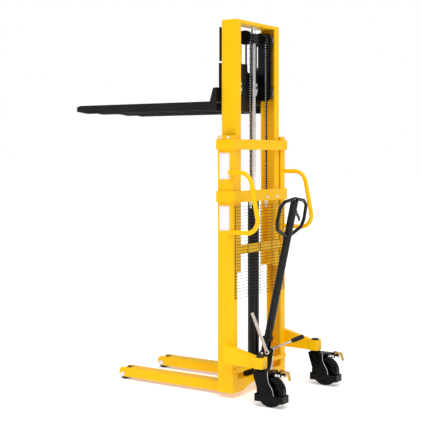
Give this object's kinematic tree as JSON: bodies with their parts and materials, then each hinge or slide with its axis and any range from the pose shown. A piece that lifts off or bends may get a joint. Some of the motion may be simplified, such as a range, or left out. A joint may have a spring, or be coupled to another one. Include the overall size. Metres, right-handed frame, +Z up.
{
  "type": "walkie stacker",
  "caption": "Hand-pumped pallet stacker: telescoping two-stage mast with hydraulic lift, chains, fork carriage, support legs, tiller and braked swivel castors.",
  "frame": {"origin": "on the floor under the middle of the whole truck, mast raised", "axes": "+Y the way the forks point, +X the operator's right, +Z up"},
  "size_m": [0.768, 1.689, 2.297],
  "materials": {
    "yellow_paint": "gloss powder coat",
    "black_paint": "satin powder coat",
    "black_plastic": "moulded nylon",
    "rubber": "moulded rubber",
    "wheel_tread": "moulded nylon",
    "chrome": "polished",
    "bright_zinc": "zinc plated",
    "chain_steel": "oiled",
    "yellow_zinc": "yellow passivated zinc"
  },
  "bodies": {
    "chassis": {"mast_rail_left": "yellow_paint", "mast_rail_right": "yellow_paint", "crossbar_upper": "yellow_paint", "crossbar_lower": "yellow_paint", "base_frame": "yellow_paint", "leg_left": "yellow_paint", "leg_right": "yellow_paint", "leg_axles": "bright_zinc", "outrigger_left": "yellow_paint", "outrigger_right": "yellow_paint", "kingpin_caps": "black_plastic", "grab_handle_left": "yellow_paint", "grab_handle_right": "yellow_paint", "mesh_guard": "black_paint", "cylinder_barrel": "black_paint", "cylinder_gland": "chrome", "pump_body": "black_paint", "pump_lugs": "black_paint", "tiller_pin": "bright_zinc", "mast_guide_pads": "black_plastic", "frame_bolts": "bright_zinc", "chain_anchors_mast": "bright_zinc", "chain_rear_strands": "chain_steel", "plunger_spring": "chrome"},
    "lift_rod": {"lift_rod": "chrome", "sheave_yoke": "black_paint", "chain_wraps": "chain_steel"},
    "sheave_left": {"sheave_left": "black_paint"},
    "sheave_right": {"sheave_right": "black_paint"},
    "carriage": {"carriage_frame": "black_paint", "fork_left": "black_paint", "fork_right": "black_paint", "backrest": "black_paint", "carriage_axles": "bright_zinc", "chain_anchors_carriage": "bright_zinc", "chain_front_strands": "chain_steel"},
    "carriage_rollers_upper": {"carriage_rollers_upper": "bright_zinc"},
    "carriage_rollers_lower": {"carriage_rollers_lower": "bright_zinc"},
    "inner_mast": {"inner_rail_left": "yellow_paint", "inner_rail_right": "yellow_paint", "inner_top_plate": "yellow_paint", "inner_lower_tie": "yellow_paint", "barrel_guides": "black_plastic", "mast_roller_axles": "bright_zinc"},
    "mast_rollers": {"mast_rollers": "bright_zinc"},
    "leg_roller_left": {"leg_roller_left": "wheel_tread"},
    "leg_roller_right": {"leg_roller_right": "wheel_tread"},
    "castor_left": {"castor_fork_left": "black_paint"},
    "castor_right": {"castor_fork_right": "black_paint"},
    "wheel_left": {"castor_wheel_left": "wheel_tread"},
    "wheel_right": {"castor_wheel_right": "wheel_tread"},
    "brake_left": {"castor_brake_left": "yellow_zinc"},
    "brake_right": {"castor_brake_right": "yellow_zinc"},
    "tiller": {"tiller_arm": "black_paint", "tiller_loop": "black_paint"},
    "release_lever": {"release_lever": "black_paint"},
    "plunger": {"pump_plunger": "chrome"},
    "hand_lever": {"hand_lever": "bright_zinc", "hand_lever_grip": "rubber"},
    "lowering_lever": {"lowering_lever": "chrome"}
  },
  "joints": [
    {"name": "lift_rod_slide", "type": "slide", "parent": "chassis", "child": "lift_rod", "axis": [0, 0, 1], "range_m": [-0.853, 0], "deforming": ["chain_rear_strands"]},
    {"name": "carriage_slide", "type": "slide", "parent": "lift_rod", "child": "carriage", "axis": [0, 0, 1], "range_m": [-0.854, 0], "deforming": ["chain_front_strands"]},
    {"name": "inner_mast_slide", "type": "slide", "parent": "chassis", "child": "inner_mast", "axis": [0, 0, 1], "range_m": [-0.646, 0]},
    {"name": "sheave_left_turn", "type": "hinge", "parent": "lift_rod", "child": "sheave_left", "pos_m": [-0.093, -0.3855, 2.199], "axis": [1, 0, 0], "continuous": true},
    {"name": "sheave_right_turn", "type": "hinge", "parent": "lift_rod", "child": "sheave_right", "pos_m": [0.093, -0.3855, 2.199], "axis": [1, 0, 0], "continuous": true},
    {"name": "carriage_rollers_upper_roll", "type": "hinge", "parent": "carriage", "child": "carriage_rollers_upper", "pos_m": [0, -0.3697, 2.208], "axis": [1, 0, 0], "continuous": true},
    {"name": "carriage_rollers_lower_roll", "type": "hinge", "parent": "carriage", "child": "carriage_rollers_lower", "pos_m": [0, -0.3697, 1.866], "axis": [1, 0, 0], "continuous": true},
    {"name": "mast_rollers_roll", "type": "hinge", "parent": "inner_mast", "child": "mast_rollers", "pos_m": [0, -0.3795, 0.811], "axis": [1, 0, 0], "continuous": true},
    {"name": "tiller_pump", "type": "hinge", "parent": "chassis", "child": "tiller", "pos_m": [0, -0.4705, 0.236], "axis": [1, 0, 0], "range_deg": [0, 60], "stiffness_Nm_per_rad": 30, "springref_deg": -20.05},
    {"name": "plunger_stroke", "type": "slide", "parent": "chassis", "child": "plunger", "axis": [0, 0, 1], "range_m": [-0.04, 0], "deforming": ["plunger_spring"]},
    {"name": "release_lever_squeeze", "type": "hinge", "parent": "tiller", "child": "release_lever", "pos_m": [0.034, -0.66792, 1.11921], "axis": [0, -0.9759, -0.2181], "range_deg": [0, 18], "stiffness_Nm_per_rad": 0.6, "springref_deg": -22.92},
    {"name": "hand_lever_swing", "type": "hinge", "parent": "chassis", "child": "hand_lever", "pos_m": [0, -0.4825, 0.247], "axis": [1, 0, 0], "range_deg": [0, 25], "stiffness_Nm_per_rad": 3, "springref_deg": -22.92},
    {"name": "lowering_lever_swing", "type": "hinge", "parent": "chassis", "child": "lowering_lever", "pos_m": [0, -0.5515, 0.262], "axis": [1, 0, 0], "range_deg": [0, 25], "stiffness_Nm_per_rad": 1.5, "springref_deg": -17.19},
    {"name": "leg_roller_left_roll", "type": "hinge", "parent": "chassis", "child": "leg_roller_left", "pos_m": [-0.211, 0.4565, 0.037], "axis": [1, 0, 0], "continuous": true},
    {"name": "castor_left_swivel", "type": "hinge", "parent": "chassis", "child": "castor_left", "pos_m": [-0.341, -0.6425, 0.215], "axis": [0, 0, 1], "continuous": true},
    {"name": "wheel_left_roll", "type": "hinge", "parent": "castor_left", "child": "wheel_left", "pos_m": [-0.341, -0.7175, 0.09], "axis": [1, 0, 0], "continuous": true},
    {"name": "brake_left_press", "type": "hinge", "parent": "castor_left", "child": "brake_left", "pos_m": [-0.341, -0.7785, 0.206], "axis": [1, 0, 0], "range_deg": [0, 12]},
    {"name": "leg_roller_right_roll", "type": "hinge", "parent": "chassis", "child": "leg_roller_right", "pos_m": [0.211, 0.4565, 0.037], "axis": [1, 0, 0], "continuous": true},
    {"name": "castor_right_swivel", "type": "hinge", "parent": "chassis", "child": "castor_right", "pos_m": [0.341, -0.6425, 0.215], "axis": [0, 0, 1], "continuous": true},
    {"name": "wheel_right_roll", "type": "hinge", "parent": "castor_right", "child": "wheel_right", "pos_m": [0.341, -0.7175, 0.09], "axis": [1, 0, 0], "continuous": true},
    {"name": "brake_right_press", "type": "hinge", "parent": "castor_right", "child": "brake_right", "pos_m": [0.341, -0.7785, 0.206], "axis": [1, 0, 0], "range_deg": [0, 12]}
  ],
  "couplings": [
    {"joint": "carriage_slide", "follows": "lift_rod_slide", "ratio": 1},
    {"joint": "inner_mast_slide", "follows": "lift_rod_slide", "ratio": 0.75616},
    {"joint": "sheave_left_turn", "follows": "lift_rod_slide", "rad_per_m": 26.316},
    {"joint": "sheave_right_turn", "follows": "lift_rod_slide", "rad_per_m": 26.316},
    {"joint": "plunger_stroke", "follows": "tiller_pump", "m_per_rad": -0.038}
  ]
}
